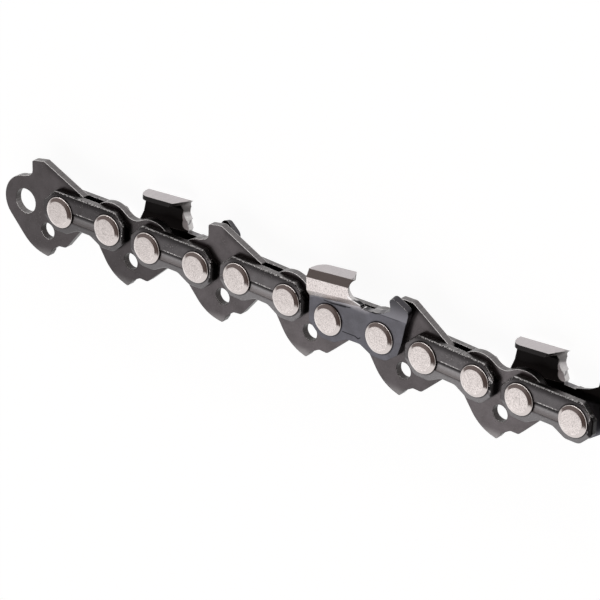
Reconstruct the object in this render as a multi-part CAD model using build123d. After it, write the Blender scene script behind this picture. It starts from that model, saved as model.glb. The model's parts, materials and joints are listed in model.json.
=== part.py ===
from build123d import *
import os
from math import cos, radians, sin, tan

# A stretch of low-profile chain for a hand-held chain saw, in millimetres.
# It lies on its side: X runs along the chain the way it travels, Y points out
# from the guide bar to the cutting edges, and Z is the direction of the rivets.
# The origin is the free rear rivet hole of the first link, on the middle plane.

# Chain
pitch = 9.32  # half the distance over three rivets in a row
plate_span = 10.15  # between the two rivets of a side plate
drive_span = 2 * pitch - plate_span  # between the two rivet holes of a drive link
gauge = 1.27  # thickness of a drive link, which runs in the bar's groove
side_gap = 0.06  # running room between a drive link and the plate beside it
plate_wall = 1.10  # thickness of tie straps and cutters
running_gap = 0.05  # radial room between a rivet's hub and the drive link
shank_gap = 0.02  # radial room between a rivet's shank and the plate

# Turn of each link about Z as the stretch lies, from the first link to the last
rest_turns = (7.5, 1.5, -2.1, 0.5, 6.2, -1.1, -3.2, 2.2, -2.7, -1.7, -0.5, 0.0)

# Rivet
hub_r = 2.10
shank_r = 1.50
head_r = 2.68
head_face_r = 1.95  # flat middle of the spun head
head_height = 0.60
head_rim = 0.14  # straight wall at the foot of the head
head_bulge = 0.72  # the shoulder's knee, as a share of the way to the flat

# Side plate: the lower edge and ends are the same on tie straps and cutters
plate_top = 3.50  # above the rivet line
plate_foot = 3.55  # below the rivet line, under each rivet
plate_waist = 2.25  # below the rivet line, half way between the rivets
waist_half = 1.30  # half the level stretch of the waist
foot_half = 1.35  # half the level stretch under each rivet
end_gap = 0.645  # from a strap's end to the middle of the drive link beside it
end_low = 1.30  # lower end of the straight end, below the rivet line
end_high = 1.20  # upper end of the straight end, above the rivet line
shoulder_half = 1.30  # from the rivet to where the top edge turns down
end_round = 0.70
foot_round = 1.60
edge_break = 0.16  # bevel round the outer face of a tie strap
groove_depth = 0.20  # pressed oil groove along a tie strap
groove_r = 2.00
groove_drop = 0.30  # the groove's middle, below the rivet line
groove_short = 0.45  # how far its ends tuck in under the rivet heads

# Drive link
ear_r = 4.40  # round ear about each rivet hole
sweep_angle = 218.0  # where the tang's back leaves the rear ear
rise_angle = -42.0  # where the tang's front meets the front ear
tang_depth = 8.95  # tip of the tang, below the rivet line
belly_slope = 13.7  # slope of the tang's underside, in degrees
belly_r = 7.5
belly_run = 3.55  # from the heel to the tip, along the underside
toe_lead = 0.65  # how far the hooked toe reaches past the tip
toe_rise = 0.90
notch_lead = 0.10  # bite above the toe
notch_rise = 0.32
tip_r = 0.35
toe_r = 0.15
notch_r = 0.10
ledge_back = 6.60  # step on the tang's front edge
ledge_front = 8.20
ledge_depth = 6.65
ledge_r = 0.80
saddle_slope = 30.0  # of both sides of the saddle, in degrees
saddle_r = 2.70
oil_hole_r = 1.42
oil_hole_x = 4.45
oil_hole_depth = 4.40

# Bumper: the ramp that stands up on every second drive link
bumper_back = 2.10  # rear edge, ahead of the rear hole
bumper_foot = 4.90
bumper_lean = 0.15  # its rear edge leans forward by this much
bumper_foot_r = 1.20
bumper_rear_r = 0.40
bumper_peak_r = 0.80
bumper_nose_r = 0.20
bumper_rear_height = 7.50
bumper_peak_x = 4.75
bumper_height = 7.75
bumper_slope = 30.0  # in degrees
bumper_nose = 4.26  # reach past the front hole
nose_low = 1.30

# Cutter: heights are above the rivet line, x counts from the rear rivet
rear_gap = 0.415  # from the cutter's rear end to the middle of the drive link behind
nose_gap = 0.045  # from its front edge, on the rivet line, to the drive link ahead
tooth_front = 6.30  # the blank's front, before the file takes it back
bend_rear = 3.00  # where the side plate starts to step out
bend_front = 4.10
step_rise = 1.30  # height of the step
corner_rear = 6.67  # lower edge of the chamfer between side and top plate
corner_front = 7.45
crest_rear = 7.95  # top plate
crest_front = 8.82
set_rear = 1.25  # side plate's set beyond the plate's outer face, at the chamfer
set_front = 1.35
set_gain = 0.30  # how much of that set comes above the step
crest_inset = 0.60  # the chamfer brings the top plate in by this much
top_wall = 0.80
side_drop = 0.45  # the inner corner lies this much below the outer one
overhang = 0.40  # top plate's reach past the middle plane
blank_foot = 2.00  # bottom of the formed blank, inside the plate
rear_lean = 0.35  # the tooth's rear edge leans forward by this much
rear_corner_r = 1.90
file_r = 2.00
file_height = 7.00
file_x = 6.35  # the file's axis where it crosses the plate's outer face
file_angle = 30.0  # in degrees
gullet_floor = 3.95
gullet_back = 6.90
gullet_back_run = 1.60  # slope between the file's path and the gullet's floor
gullet_back_rise = 1.30
gullet_back_r = 1.50
gullet_front = 8.50
gullet_rise_x = 10.85
gullet_rise = 4.75
gullet_front_r = 1.00
gauge_fold = 4.10  # the depth gauge is bent out a little above this line
gauge_lean = 13.0  # in degrees
gauge_back = 2.25  # depth gauge: rear edge, ahead of the front rivet
gauge_foot_rise = 0.90  # foot of that edge, above the gullet's rise
gauge_foot_r = 0.40
gauge_rear_height = 9.00
gauge_rear_r = 0.90
gauge_front = 5.95
gauge_front_height = 6.55
gauge_front_r = 1.20
nose_r = 2.00
fold_reach = 5.05  # reach of the front edge past the front rivet, at the fold
heel_gap = 0.695  # from the plate's lower front corner to the drive link ahead
heel_low = 1.95

inner = gauge / 2 + side_gap  # inner face of a plate, from the middle plane
outer = inner + plate_wall  # outer face
end_reach = drive_span / 2 - end_gap  # from the rivet to the end of a tie strap
cutter_reach = drive_span / 2 - rear_gap
nose_reach = drive_span / 2 - nose_gap
heel_reach = drive_span / 2 - heel_gap
clear = 1.00  # how far a cut runs past what it cuts


def outline(corners):
    """Flat face inside a closed run of (x, y, corner radius)."""
    points = [(x, y) for x, y, r in corners]
    return make_face(FilletPolyline(*points, radius=[r for x, y, r in corners], close=True))


def slab(face, low, thickness):
    """Plate of the given face, standing up from height low."""
    return Pos(0, 0, low) * extrude(face, thickness)


def bore(x, y, radius, reach):
    return Pos(x, y, 0) * Cylinder(radius, 2 * reach)


def lower_edge():
    """Corners of a side plate's underside, from the front foot to the rear one."""
    middle = plate_span / 2
    front = plate_span
    return [
        (front + foot_half, -plate_foot, foot_round),
        (front - foot_half, -plate_foot, foot_round),
        (middle + waist_half, -plate_waist, foot_round),
        (middle - waist_half, -plate_waist, foot_round),
        (foot_half, -plate_foot, foot_round),
        (-foot_half, -plate_foot, foot_round),
    ]


def plate_holes(body):
    for x in (0, plate_span):
        body -= bore(x, 0, shank_r + shank_gap, outer)
    return body


def tie_strap():
    """Near tie strap: waisted plate with corners cut, bevelled rim and oil groove."""
    front = plate_span
    corners = lower_edge() + [
        (-end_reach, -end_low, end_round),
        (-end_reach, end_high, end_round),
        (-shoulder_half, plate_top, end_round),
        (front + shoulder_half, plate_top, end_round),
        (front + end_reach, end_high, end_round),
        (front + end_reach, -end_low, end_round),
    ]
    strap = slab(outline(corners), inner, plate_wall)
    rim = strap.faces().sort_by(Axis.Z)[-1].edges()
    strap = chamfer(rim, edge_break)
    length = plate_span - 2 * (head_r - groove_short)
    axis_height = outer + groove_r - groove_depth
    groove = Rot(0, 90, 0) * Cylinder(groove_r, length)
    strap -= Pos(plate_span / 2, -groove_drop, axis_height) * groove
    return plate_holes(strap)


def tooth_section(x, bend, corner, crest, side_set):
    """Cross-section of the bent tooth blank at one place along the cutter."""
    top_set = side_set - crest_inset
    step_set = side_set - set_gain
    profile = [
        (outer, blank_foot),
        (outer, bend),
        (outer + step_set, bend + step_rise),
        (outer + side_set, corner),
        (outer + top_set, crest),
        (-overhang, crest),
        (-overhang, crest - top_wall),
        (inner + top_set, crest - top_wall),
        (inner + side_set, corner - side_drop),
        (inner + step_set, bend + step_rise),
        (inner, bend),
        (inner, blank_foot),
    ]
    return make_face(Polyline([(x, y, z) for z, y in profile], close=True))


def file_path():
    """Space that the round file and its approach take from the front of the tooth."""
    swept = Circle(file_r) + Pos(file_r, file_r) * Rectangle(2 * file_r, 2 * file_r)
    long = 4 * (outer + set_front)
    tool = extrude(swept, long / 2, both=True)
    return Pos(file_x, file_height, outer) * Rot(0, file_angle, 0) * tool


def tooth():
    rear = tooth_section(-cutter_reach, bend_rear, corner_rear, crest_rear, set_rear)
    front = tooth_section(tooth_front, bend_front, corner_front, crest_front, set_front)
    blank = loft([rear, front], ruled=True)
    above = crest_front + clear
    back = 2 * cutter_reach
    lean = [
        (-back, bend_rear, 0),
        (-cutter_reach, bend_rear, 0),
        (-cutter_reach + rear_lean, above, 0),
        (-back, above, 0),
    ]
    deep = outer + set_front + clear
    blank -= slab(outline(lean), -deep, 2 * deep)
    # round off the rear inner corner of the top plate
    corner_x = -cutter_reach + rear_lean + rear_corner_r
    corner_z = -overhang + rear_corner_r
    size = 2 * rear_corner_r
    post = Pos(-size / 2, 0, -size / 2) * Box(size, size, size)
    post -= Rot(90, 0, 0) * Cylinder(rear_corner_r, size)
    blank -= Pos(corner_x, crest_rear, corner_z) * post
    return blank - file_path()


def depth_gauge():
    """Depth gauge, standing on the plate's fold line and bent out from it."""
    front = plate_span
    corners = [
        (gullet_front, gauge_fold, 0),
        (gullet_rise_x, gullet_rise, gullet_front_r),
        (front + gauge_back, gullet_rise + gauge_foot_rise, gauge_foot_r),
        (front + gauge_back, gauge_rear_height, gauge_rear_r),
        (front + gauge_front, gauge_front_height, gauge_front_r),
        (front + fold_reach, gauge_fold, 0),
    ]
    flat = Pos(0, -gauge_fold, -inner) * slab(outline(corners), inner, plate_wall)
    return Pos(0, gauge_fold, inner) * Rot(gauge_lean, 0, 0) * flat


def cutter():
    """Near cutter: plate, depth gauge, gullet and the bent tooth with its filed edge."""
    front = plate_span
    corners = lower_edge() + [
        (-cutter_reach, -end_low, end_round),
        (-cutter_reach, bend_rear, 0),
        (tooth_front, gullet_floor, 0),
        (gullet_front, gullet_floor, 0),
        (gullet_front, gauge_fold, 0),
        (front + fold_reach, gauge_fold, 0),
        (front + nose_reach, 0, nose_r),
        (front + heel_reach, -heel_low, end_round),
    ]
    body = slab(outline(corners), inner, plate_wall) + tooth() + depth_gauge()
    gullet = [
        (gullet_back - gullet_back_run, gullet_floor + gullet_back_rise, 0),
        (gullet_back, gullet_floor, gullet_back_r),
        (gullet_front, gullet_floor, 0),
        (gullet_front, file_height, 0),
        (gullet_back, file_height, 0),
    ]
    body -= slab(outline(gullet), -outer, 2 * outer + 2 * set_front)
    return plate_holes(body)


def drive_link(with_bumper):
    """Drive link: two round ears, a saddle or a bumper above, and the hooked tang below."""
    front = drive_span
    sweep = (ear_r * cos(radians(sweep_angle)), ear_r * sin(radians(sweep_angle)))
    rise = (front + ear_r * cos(radians(rise_angle)), ear_r * sin(radians(rise_angle)))
    # the tang's back runs on at a tangent to the ear until it meets the underside
    heel_y = belly_run * sin(radians(belly_slope)) - tang_depth
    heel_x = sweep[0] - (heel_y - sweep[1]) * tan(radians(sweep_angle))
    toe_x = heel_x + belly_run * cos(radians(belly_slope))
    tang = [
        (0, 0, 0),
        (*sweep, 0),
        (heel_x, heel_y, belly_r),
        (toe_x, -tang_depth, tip_r),
        (toe_x + toe_lead, toe_rise - tang_depth, toe_r),
        (toe_x + toe_lead + notch_lead, toe_rise + notch_rise - tang_depth, notch_r),
        (ledge_back, -ledge_depth, ledge_r),
        (ledge_front, -ledge_depth, ledge_r),
        (*rise, 0),
        (front, 0, 0),
    ]
    middle = front / 2
    # the saddle leaves each ear where the ear itself has the saddle's slope
    saddle_x = ear_r * sin(radians(saddle_slope))
    saddle_y = ear_r * cos(radians(saddle_slope))
    saddle_low = saddle_y - (middle - saddle_x) * tan(radians(saddle_slope))
    saddle = [
        (0, 0, 0),
        (front, 0, 0),
        (front - saddle_x, saddle_y, 0),
        (middle, saddle_low, saddle_r),
        (saddle_x, saddle_y, 0),
    ]
    ramp_run = front + bumper_nose - bumper_peak_x
    ramp_end = bumper_height - ramp_run * tan(radians(bumper_slope))
    bumper = [
        (0, 0, 0),
        (0, ear_r, 0),
        (bumper_back - bumper_lean, bumper_foot, bumper_foot_r),
        (bumper_back, bumper_rear_height, bumper_rear_r),
        (bumper_peak_x, bumper_height, bumper_peak_r),
        (front + bumper_nose, ramp_end, bumper_nose_r),
        (front + bumper_nose, nose_low, 0),
        (front, 0, 0),
    ]
    crown = bumper if with_bumper else saddle
    face = Circle(ear_r) + Pos(front, 0) * Circle(ear_r) + outline(tang) + outline(crown)
    link = slab(face, -gauge / 2, gauge)
    for x in (0, front):
        link -= bore(x, 0, hub_r + running_gap, gauge)
    return link - bore(oil_hole_x, -oil_hole_depth, oil_hole_r, gauge)


def rivet():
    """Rivet: hub for the drive link, a shank through each plate, and two spun heads."""
    knee_r = head_r - (1 - head_bulge) * (head_r - head_face_r)
    upper = [
        (hub_r, inner),
        (shank_r, inner),
        (shank_r, outer),
        (head_r, outer),
        (head_r, outer + head_rim),
        (knee_r, outer + head_bulge * head_height),
        (head_face_r, outer + head_height),
        (0, outer + head_height),
    ]
    lower = [(x, -z) for x, z in reversed(upper)]
    return revolve(Plane.XZ * make_face(Polyline(*lower, *upper, close=True)), Axis.Z)


def joint_points():
    """Each rivet's place in the stretch, with the free rear hole first."""
    points = [(0.0, 0.0)]
    for number, turn in enumerate(rest_turns):
        span = drive_span if number % 2 == 0 else plate_span
        x, y = points[-1]
        points.append((x + span * cos(radians(turn)), y + span * sin(radians(turn))))
    return points


def place(body, number):
    x, y = joint_points()[number]
    return Pos(x, y, 0) * Rot(0, 0, rest_turns[number]) * body


def far(body):
    return mirror(body, about=Plane.XY)


# Links in order: even ones are drive links, odd ones are pairs of side plates.
# Every second drive link carries a bumper, and the cutters change sides.
bumper_links = (0, 4, 8)
right_cutters = {7: "right_cutter"}
left_cutters = {3: "left_cutter_1", 11: "left_cutter_2"}


def build():
    """Every piece of the stretch in its place, by name."""
    nodes = {}
    strap = tie_strap()
    tooth_plate = cutter()
    pin = rivet()
    plain = drive_link(False)
    ramped = drive_link(True)
    for number in range(0, len(rest_turns), 2):
        if number in bumper_links:
            name = f"bumper_drive_link_{1 + bumper_links.index(number)}"
            nodes[name] = place(ramped, number)
        else:
            nodes[f"drive_link_{(number + 2) // 4}"] = place(plain, number)
    for number in range(1, len(rest_turns), 2):
        pair = (number + 1) // 2
        near = f"tie_strap_near_{pair}"
        opposite = f"tie_strap_far_{pair}"
        near_plate = far_plate = strap
        if number in right_cutters:
            near, near_plate = right_cutters[number], tooth_plate
        if number in left_cutters:
            opposite, far_plate = left_cutters[number], tooth_plate
        nodes[near] = place(near_plate, number)
        nodes[opposite] = place(far(far_plate), number)
        nodes[f"rivet_{2 * pair - 1}"] = place(pin, number)
        nodes[f"rivet_{2 * pair}"] = place(Pos(plate_span, 0, 0) * pin, number)
    return nodes


os.makedirs("parts", exist_ok=True)
for node, body in build().items():
    export_step(body, f"parts/{node}.step")
    print(node, round(body.volume, 3))
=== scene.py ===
import json
from math import atan2, cos, radians, sin, tan

import bpy
import numpy as np
from mathutils import Matrix, Vector


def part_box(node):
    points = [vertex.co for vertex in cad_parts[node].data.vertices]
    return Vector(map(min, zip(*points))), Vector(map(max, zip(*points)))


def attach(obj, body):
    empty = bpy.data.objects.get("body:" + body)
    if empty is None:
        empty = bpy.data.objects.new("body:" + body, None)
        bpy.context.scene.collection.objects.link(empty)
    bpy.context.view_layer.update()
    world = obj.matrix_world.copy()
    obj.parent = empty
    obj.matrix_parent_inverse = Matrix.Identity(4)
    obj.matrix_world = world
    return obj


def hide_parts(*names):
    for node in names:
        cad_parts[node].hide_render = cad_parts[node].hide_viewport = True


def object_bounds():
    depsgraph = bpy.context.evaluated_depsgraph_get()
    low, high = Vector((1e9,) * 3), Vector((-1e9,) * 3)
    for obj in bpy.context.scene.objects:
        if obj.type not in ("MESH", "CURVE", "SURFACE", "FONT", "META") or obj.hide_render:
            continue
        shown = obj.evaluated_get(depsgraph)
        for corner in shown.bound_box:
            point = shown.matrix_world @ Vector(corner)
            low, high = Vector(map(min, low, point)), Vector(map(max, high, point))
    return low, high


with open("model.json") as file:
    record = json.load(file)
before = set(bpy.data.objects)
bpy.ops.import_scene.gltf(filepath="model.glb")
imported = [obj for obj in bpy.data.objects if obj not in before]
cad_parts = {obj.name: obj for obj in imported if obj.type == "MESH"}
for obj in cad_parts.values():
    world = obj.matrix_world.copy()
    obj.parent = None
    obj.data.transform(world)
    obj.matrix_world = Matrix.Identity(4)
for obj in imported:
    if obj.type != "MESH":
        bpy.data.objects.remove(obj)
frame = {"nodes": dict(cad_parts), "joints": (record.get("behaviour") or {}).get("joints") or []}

cadBox = [list(corner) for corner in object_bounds()]
nodes = frame["nodes"]
mm = 0.001
print("frame loaded:", len(nodes), "nodes")


# Links of the stretch in order, each with a tone that paints in the light and shade falling on it
chainLook = {
    "driveLinks": {"bumper_drive_link_1": 0.78, "drive_link_1": 0.66, "bumper_drive_link_2": 0.92,
                   "drive_link_2": 1.06, "bumper_drive_link_3": 0.86, "drive_link_3": 1.08},
    "straps": {"tie_strap_near_1": 0.68, "tie_strap_far_1": 0.90, "tie_strap_near_2": 0.90,
               "tie_strap_near_3": 1.05, "tie_strap_far_3": 1.00, "tie_strap_far_4": 1.00,
               "tie_strap_near_5": 1.04, "tie_strap_far_5": 1.00, "tie_strap_near_6": 0.92},
    "cutters": {"left_cutter_1": 2, "right_cutter": 4, "left_cutter_2": 6},  # pair of plates
}


def rivetPoint(number):
    low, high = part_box(f"rivet_{number}")
    return (low + high) / 2


# a link's frame: its rear rivet and its turn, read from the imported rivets
def linkFrame(rear, front):
    return rear.x, rear.y, atan2(front.y - rear.y, front.x - rear.x)


def plateFrame(pair):
    return linkFrame(rivetPoint(2 * pair - 1), rivetPoint(2 * pair))


# a drive link starts at the front rivet of the pair behind, the first at its free hole
def driveFrame(number):
    behind = rivetPoint(2 * number - 2) if number > 1 else Vector((0, 0, 0))
    return linkFrame(behind, rivetPoint(2 * number - 1))


# Node helpers

def addNode(tree, kind, **settings):
    node = tree.nodes.new(kind)
    for key, value in settings.items():
        setattr(node, key, value)
    return node


def feed(tree, socket, value):
    if isinstance(value, bpy.types.NodeSocket):
        tree.links.new(value, socket)
    else:
        socket.default_value = value


def maths(tree, operation, first, second=0.0, clamp=False):
    node = addNode(tree, "ShaderNodeMath", operation=operation, use_clamp=clamp)
    feed(tree, node.inputs[0], first)
    feed(tree, node.inputs[1], second)
    return node.outputs[0]


def times(tree, first, *others):
    for other in others:
        first = maths(tree, "MULTIPLY", first, other)
    return first


def largest(tree, first, *others):
    for other in others:
        first = maths(tree, "MAXIMUM", first, other)
    return first


def inverse(tree, value):
    return maths(tree, "SUBTRACT", 1.0, value)


def vectorMaths(tree, operation, first, second, output=0):
    node = addNode(tree, "ShaderNodeVectorMath", operation=operation)
    feed(tree, node.inputs[0], first)
    feed(tree, node.inputs[1], second)
    return node.outputs[output]


# 0 at low and 1 at high, with a soft rise between; low above high gives a fall
def rise(tree, value, low, high):
    node = addNode(tree, "ShaderNodeMapRange", interpolation_type="SMOOTHSTEP")
    feed(tree, node.inputs["Value"], value)
    node.inputs["From Min"].default_value = low
    node.inputs["From Max"].default_value = high
    return node.outputs["Result"]


# 1 on a line and 0 at the given distance from it
def lineMask(tree, value, middle, reach, core=0.2):
    away = maths(tree, "ABSOLUTE", maths(tree, "SUBTRACT", value, middle))
    return rise(tree, away, reach, reach * core)


# 1 between low and high, with soft ends
def between(tree, value, low, high, soft):
    up = rise(tree, value, low - soft, low + soft)
    return times(tree, up, rise(tree, value, high + soft, high - soft))


def mixColour(tree, factor, first, second):
    node = addNode(tree, "ShaderNodeMix", data_type="RGBA")
    feed(tree, node.inputs[0], factor)
    feed(tree, node.inputs[6], first)
    feed(tree, node.inputs[7], second)
    return node.outputs[2]


def mixNumber(tree, factor, first, second):
    node = addNode(tree, "ShaderNodeMix", data_type="FLOAT")
    feed(tree, node.inputs[0], factor)
    feed(tree, node.inputs[2], first)
    feed(tree, node.inputs[3], second)
    return node.outputs[0]


def turnNormal(tree, vector, given, wanted):
    node = addNode(tree, "ShaderNodeVectorTransform", vector_type="NORMAL",
                   convert_from=given, convert_to=wanted)
    tree.links.new(vector, node.inputs[0])
    return node.outputs[0]


def colour(red, green, blue, tone=1.0):
    return (red * tone, green * tone, blue * tone, 1.0)


def toned(shade, tone):
    return colour(*shade[:3], tone)


# Shared effects, each a node group that is built once

def newGroup(name, inputs, outputs):
    tree = bpy.data.node_groups.new(name, "ShaderNodeTree")
    for label, kind, value in inputs:
        socket = tree.interface.new_socket(label, in_out="INPUT", socket_type=kind)
        if value is not None:
            socket.default_value = value
    for label, kind in outputs:
        tree.interface.new_socket(label, in_out="OUTPUT", socket_type=kind)
    return tree, tree.nodes.new("NodeGroupInput"), tree.nodes.new("NodeGroupOutput")


def noise(tree, vector, scale, detail, roughness=0.5):
    node = addNode(tree, "ShaderNodeTexNoise")
    node.inputs["Detail"].default_value = detail
    node.inputs["Roughness"].default_value = roughness
    feed(tree, node.inputs["Vector"], vector)
    feed(tree, node.inputs["Scale"], scale)
    return node.outputs["Fac"]


grainLook = {
    "detail": 5.0, "roughness": 0.62, "cloudDetail": 4.0,
    "grain": (0.25, 0.75), "clouds": (0.3, 0.7),
    "cellShare": 0.45, "speck": (0.28, 0.12), "speckClouds": (0.50, 0.66),
    "speckHeight": 0.4,
}


# fine grain of tumbled steel, broad clouds, and bright specks where the clouds are thick
def makeSteelGrain():
    look = grainLook
    tree, given, out = newGroup(
        "steelGrain",
        [("Vector", "NodeSocketVector", None), ("Scale", "NodeSocketFloat", 9000.0),
         ("Cloud Scale", "NodeSocketFloat", 700.0), ("Speck Amount", "NodeSocketFloat", 0.5)],
        [("Grain", "NodeSocketFloat"), ("Clouds", "NodeSocketFloat"),
         ("Specks", "NodeSocketFloat"), ("Height", "NodeSocketFloat")])
    vector, scale = given.outputs["Vector"], given.outputs["Scale"]
    fine = noise(tree, vector, scale, look["detail"], look["roughness"])
    clouds = noise(tree, vector, given.outputs["Cloud Scale"], look["cloudDetail"])
    cells = addNode(tree, "ShaderNodeTexVoronoi", feature="F1")
    feed(tree, cells.inputs["Vector"], vector)
    feed(tree, cells.inputs["Scale"], times(tree, scale, look["cellShare"]))
    speck = times(tree, rise(tree, cells.outputs["Distance"], *look["speck"]),
                  rise(tree, clouds, *look["speckClouds"]))
    tree.links.new(rise(tree, fine, *look["grain"]), out.inputs["Grain"])
    tree.links.new(rise(tree, clouds, *look["clouds"]), out.inputs["Clouds"])
    tree.links.new(times(tree, speck, given.outputs["Speck Amount"]), out.inputs["Specks"])
    height = maths(tree, "ADD", fine, times(tree, speck, look["speckHeight"]))
    tree.links.new(height, out.inputs["Height"])
    return tree


edgeLook = {
    "samples": 8, "edge": (0.015, 0.12),
    "upper": (0.05, 0.30), "under": (-0.05, -0.30),  # how far the edge looks up or down
    "detail": 4.0, "roughness": 0.7, "worn": (-0.10, 0.10),
}


# rounded normal, a mask of upper edges where the finish is rubbed off in dots and dashes,
# which also carries a painted highlight, and a mask of the lower edges for painted shade;
# a rubbed spot is turned outward by Tilt, and Rim adds rubbed wear and painted highlight beside
# the edges too
def makeRubbedEdgeAndHighlight():
    look = edgeLook
    tree, given, out = newGroup(
        "rubbedEdgeAndHighlight",
        [("Vector", "NodeSocketVector", None), ("Width", "NodeSocketFloat", 0.06 * mm),
         ("Rounding", "NodeSocketFloat", 0.15 * mm), ("Breaks", "NodeSocketFloat", 1500.0),
         ("Gaps", "NodeSocketFloat", 0.48), ("Tilt", "NodeSocketFloat", 1.4),
         ("Rim", "NodeSocketFloat", 0.0)],
        [("Mask", "NodeSocketFloat"), ("Under", "NodeSocketFloat"),
         ("Normal", "NodeSocketVector")])
    sharp = addNode(tree, "ShaderNodeBevel", samples=look["samples"])
    feed(tree, sharp.inputs["Radius"], given.outputs["Width"])
    face = addNode(tree, "ShaderNodeNewGeometry")
    bend = vectorMaths(tree, "DOT_PRODUCT", sharp.outputs["Normal"], face.outputs["Normal"], 1)
    edge = rise(tree, inverse(tree, bend), *look["edge"])
    split = addNode(tree, "ShaderNodeSeparateXYZ")
    tree.links.new(turnNormal(tree, sharp.outputs["Normal"], "WORLD", "OBJECT"), split.inputs[0])
    outward = split.outputs[1]
    dashes = noise(tree, given.outputs["Vector"], given.outputs["Breaks"], look["detail"],
                   look["roughness"])
    worn = rise(tree, maths(tree, "SUBTRACT", dashes, given.outputs["Gaps"]), *look["worn"])
    upper = times(tree, edge, rise(tree, outward, *look["upper"]))
    upper = times(tree, maths(tree, "MAXIMUM", upper, given.outputs["Rim"]), worn)
    tree.links.new(upper, out.inputs["Mask"])
    tree.links.new(times(tree, edge, rise(tree, outward, *look["under"])), out.inputs["Under"])
    soft = addNode(tree, "ShaderNodeBevel", samples=look["samples"])
    feed(tree, soft.inputs["Radius"], given.outputs["Rounding"])
    push = addNode(tree, "ShaderNodeCombineXYZ")
    tree.links.new(times(tree, upper, given.outputs["Tilt"]), push.inputs[1])
    leaned = turnNormal(tree, soft.outputs["Normal"], "WORLD", "OBJECT")
    leaned = vectorMaths(tree, "ADD", leaned, push.outputs[0])
    tree.links.new(turnNormal(tree, leaned, "OBJECT", "WORLD"), out.inputs["Normal"])
    return tree


shearLook = {"detail": 3.0, "roughness": 0.6, "ridges": (0.3, 0.7)}


# shear marks on a punched edge: noise drawn out through the plate's thickness
def makeShearMarks():
    look = shearLook
    tree, given, out = newGroup(
        "shearMarks",
        [("Vector", "NodeSocketVector", None), ("Scale", "NodeSocketFloat", 5500.0),
         ("Stretch", "NodeSocketFloat", 0.10)],
        [("Ridges", "NodeSocketFloat")])
    squash = addNode(tree, "ShaderNodeCombineXYZ")
    squash.inputs[0].default_value = 1.0
    squash.inputs[1].default_value = 1.0
    feed(tree, squash.inputs[2], given.outputs["Stretch"])
    drawn = vectorMaths(tree, "MULTIPLY", given.outputs["Vector"], squash.outputs[0])
    ridges = noise(tree, drawn, given.outputs["Scale"], look["detail"], look["roughness"])
    tree.links.new(rise(tree, ridges, *look["ridges"]), out.inputs["Ridges"])
    return tree


# soft straight mark between two points: the share along it is held between its ends,
# and the mask falls with the distance left across it
def makePressedMark():
    tree, given, out = newGroup(
        "pressedMark",
        [("Vector", "NodeSocketVector", None), ("Start", "NodeSocketVector", (0, 0, 0)),
         ("End", "NodeSocketVector", (1, 0, 0)), ("Width", "NodeSocketFloat", 0.1)],
        [("Mask", "NodeSocketFloat")])
    along = vectorMaths(tree, "SUBTRACT", given.outputs["End"], given.outputs["Start"])
    offset = vectorMaths(tree, "SUBTRACT", given.outputs["Vector"], given.outputs["Start"])
    reach = vectorMaths(tree, "DOT_PRODUCT", offset, along, 1)
    size = vectorMaths(tree, "DOT_PRODUCT", along, along, 1)
    foot = addNode(tree, "ShaderNodeVectorMath", operation="SCALE")
    tree.links.new(along, foot.inputs[0])
    tree.links.new(maths(tree, "DIVIDE", reach, size, clamp=True), foot.inputs["Scale"])
    across = vectorMaths(tree, "DISTANCE", offset, foot.outputs[0], 1)
    left = maths(tree, "DIVIDE", across, given.outputs["Width"])
    tree.links.new(rise(tree, left, 1.0, 0.0), out.inputs["Mask"])
    return tree


steelGrain = makeSteelGrain()
rubbedEdgeAndHighlight = makeRubbedEdgeAndHighlight()
shearMarks = makeShearMarks()
pressedMark = makePressedMark()
print("effects made")


def placeGroup(tree, group, **values):
    node = addNode(tree, "ShaderNodeGroup", node_tree=group)
    for label, value in values.items():
        feed(tree, node.inputs[label.replace("_", " ")], value)
    return node.outputs


def newMaterial(name):
    material = bpy.data.materials.new(name)
    material.use_nodes = True
    tree = material.node_tree
    shader = tree.nodes["Principled BSDF"]
    shader.inputs["Metallic"].default_value = 1.0
    return material, tree, shader, addNode(tree, "ShaderNodeTexCoord").outputs


# millimetres along, up and out in a link's own frame, and the vector of all three
def ownAxes(tree, coords, place, side=1):
    mapping = addNode(tree, "ShaderNodeMapping", vector_type="TEXTURE")
    mapping.inputs["Location"].default_value = (place[0], place[1], 0)
    mapping.inputs["Rotation"].default_value = (0, 0, place[2])
    mapping.inputs["Scale"].default_value = (mm, mm, side * mm)
    tree.links.new(coords["Object"], mapping.inputs["Vector"])
    split = addNode(tree, "ShaderNodeSeparateXYZ")
    tree.links.new(mapping.outputs["Vector"], split.inputs[0])
    return (*split.outputs, mapping.outputs["Vector"])


def faceDirection(tree, coords):
    split = addNode(tree, "ShaderNodeSeparateXYZ")
    tree.links.new(coords["Normal"], split.inputs[0])
    return split.outputs


# distance from a line through the point that runs as the rivets do
def levelDistance(tree, own, point):
    level = vectorMaths(tree, "MULTIPLY", own, (1, 1, 0))
    return vectorMaths(tree, "DISTANCE", level, point, 1)


# the root of the sum of two squares
def diagonal(tree, first, second):
    squares = maths(tree, "ADD", times(tree, first, first), times(tree, second, second))
    return maths(tree, "POWER", squares, 0.5)


# narrow dark ring round the rivet heads of a side plate
headRing = {"span": 10.15, "reach": (2.96, 2.66), "amount": 0.85}


def headShadow(tree, own):
    rings = [rise(tree, levelDistance(tree, own, (x, 0, 0)), *headRing["reach"])
             for x in (0.0, headRing["span"])]
    return times(tree, largest(tree, *rings), headRing["amount"])


# mask of several pressed marks, each given by its width, start and end
def strokes(tree, own, listed):
    marks = [placeGroup(tree, pressedMark, Vector=own, Start=start, End=end, Width=width)["Mask"]
             for width, start, end in listed]
    return largest(tree, *marks)


# a layer is a colour and the share of it that covers what lies under
def paint(tree, base, mask, layer, tone=1.0):
    shade, share = layer
    return mixColour(tree, times(tree, mask, share), base, toned(shade, tone))


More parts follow.
